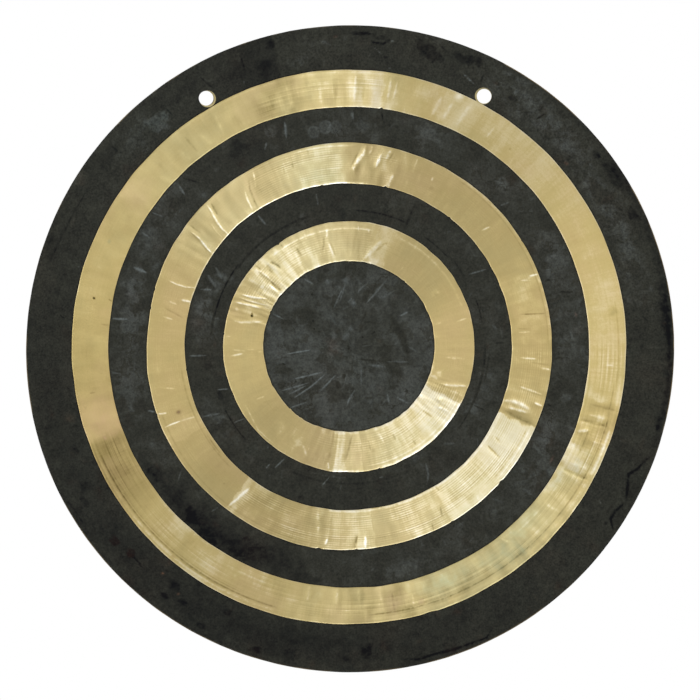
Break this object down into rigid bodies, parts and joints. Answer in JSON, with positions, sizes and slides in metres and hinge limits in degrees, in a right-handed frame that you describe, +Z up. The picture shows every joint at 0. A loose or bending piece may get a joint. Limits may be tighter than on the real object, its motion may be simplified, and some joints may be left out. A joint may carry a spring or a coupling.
{
  "type": "wind gong",
  "caption": "Round dished plate of hammered bronze with lathed rings on both faces, hung from two holes near its top and struck to sound.",
  "frame": {"origin": "middle of the plate: half way across its outline and half way through the depth of its dish", "axes": "+Z up as the gong hangs, towards the hanging holes; +Y through the plate from its struck front to its back, so the front looks along -Y; +X to the right seen from the front"},
  "size_m": [0.4574, 0.0112, 0.4565],
  "materials": {
    "fire_scale": "dark matt fire scale on hammered bronze, with fine scratches",
    "lathed_bronze": "bare bronze turned on a lathe, with fine round grooves"
  },
  "bodies": {
    "root": {"gong_plate": "fire_scale"}
  },
  "joints": []
}
